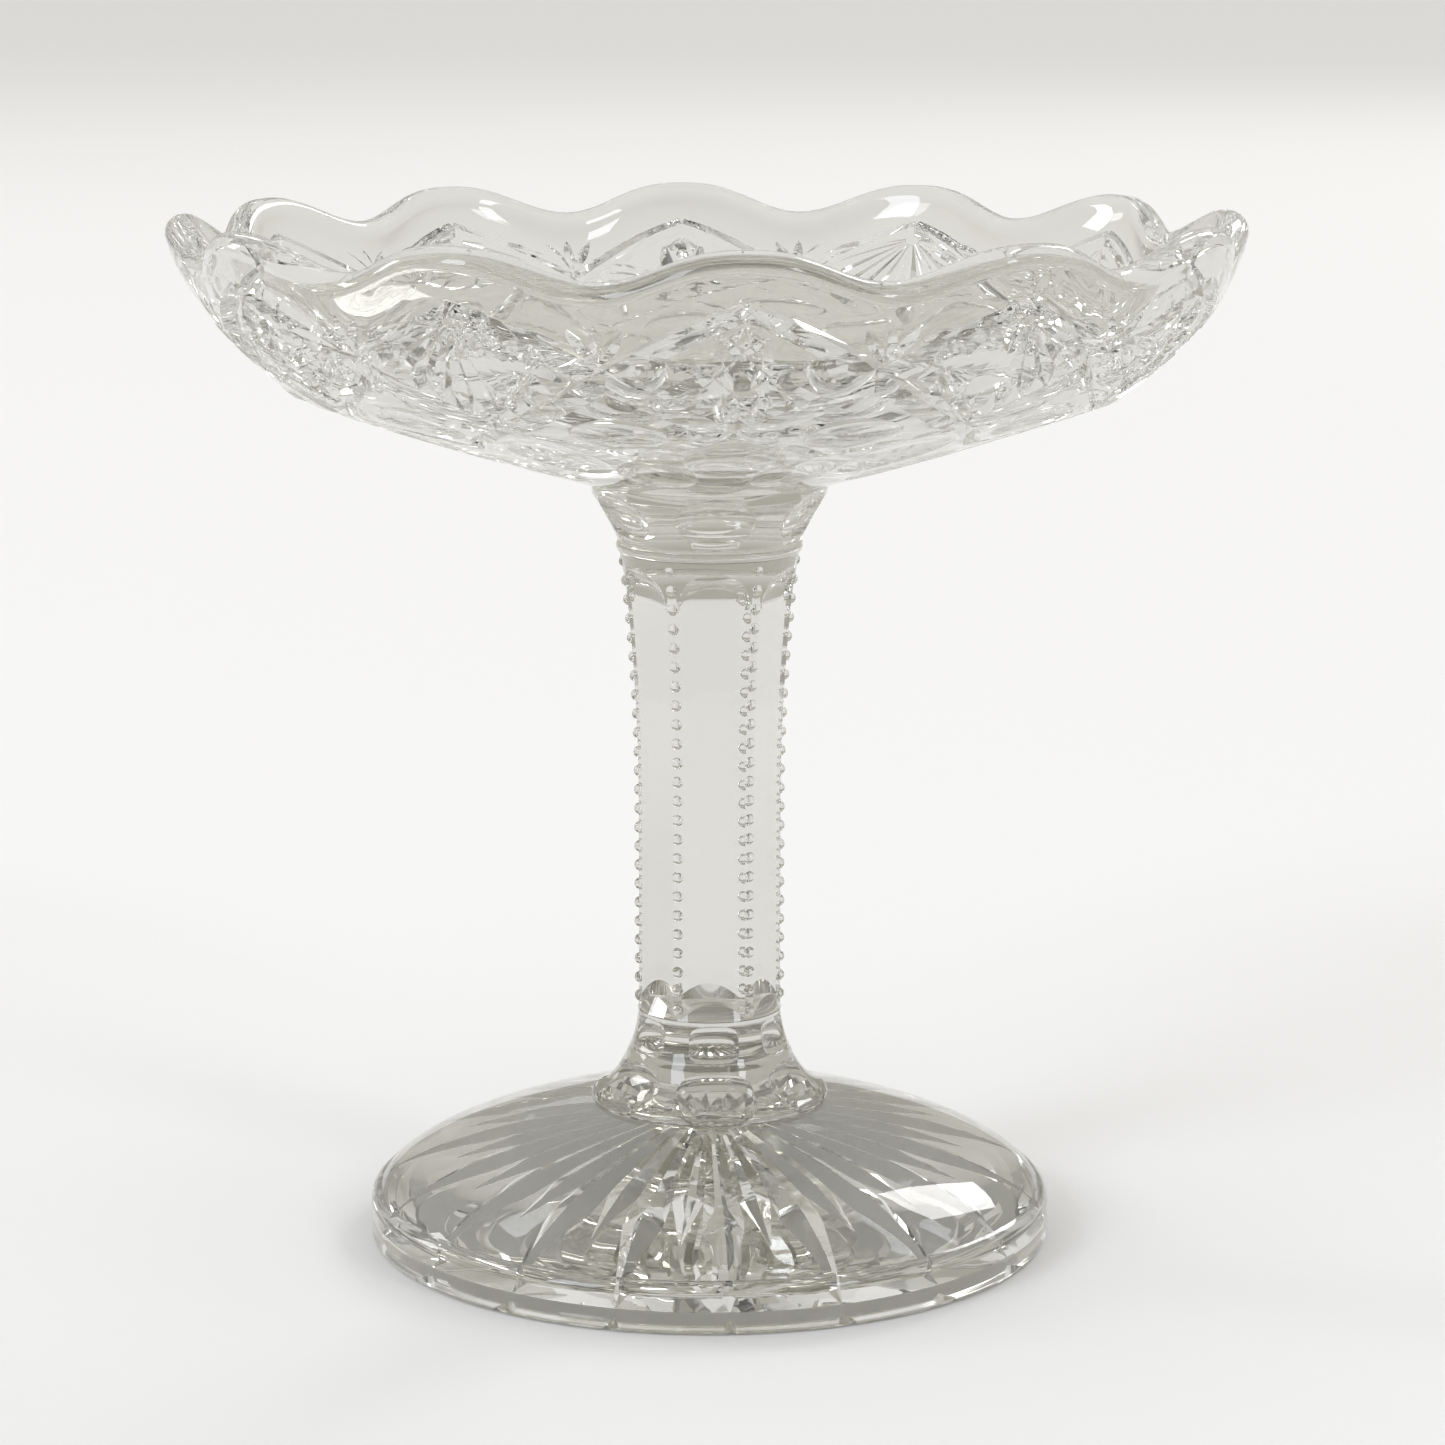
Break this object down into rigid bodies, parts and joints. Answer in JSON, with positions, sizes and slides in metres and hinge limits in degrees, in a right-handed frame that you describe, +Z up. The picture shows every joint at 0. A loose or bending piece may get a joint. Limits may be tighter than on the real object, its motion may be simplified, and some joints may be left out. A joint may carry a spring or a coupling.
{
  "type": "footed glass dish",
  "caption": "Shallow scalloped dish of clear pressed glass on a beaded six-sided stem and a round domed foot, for small sweets, jelly or nail liquids.",
  "frame": {"origin": "on the surface that the foot stands on, under the axis of the stem", "axes": "+Z up along the stem; the middle of a scallop and a flat side of the stem face -Y"},
  "size_m": [0.1088, 0.1088, 0.106],
  "materials": {
    "clear_glass": "pressed and fire-polished, clear with a faint warm grey tint"
  },
  "bodies": {
    "root": {"bowl": "clear_glass", "upper_collar": "clear_glass", "stem": "clear_glass", "lower_collar": "clear_glass", "foot": "clear_glass"}
  },
  "joints": []
}
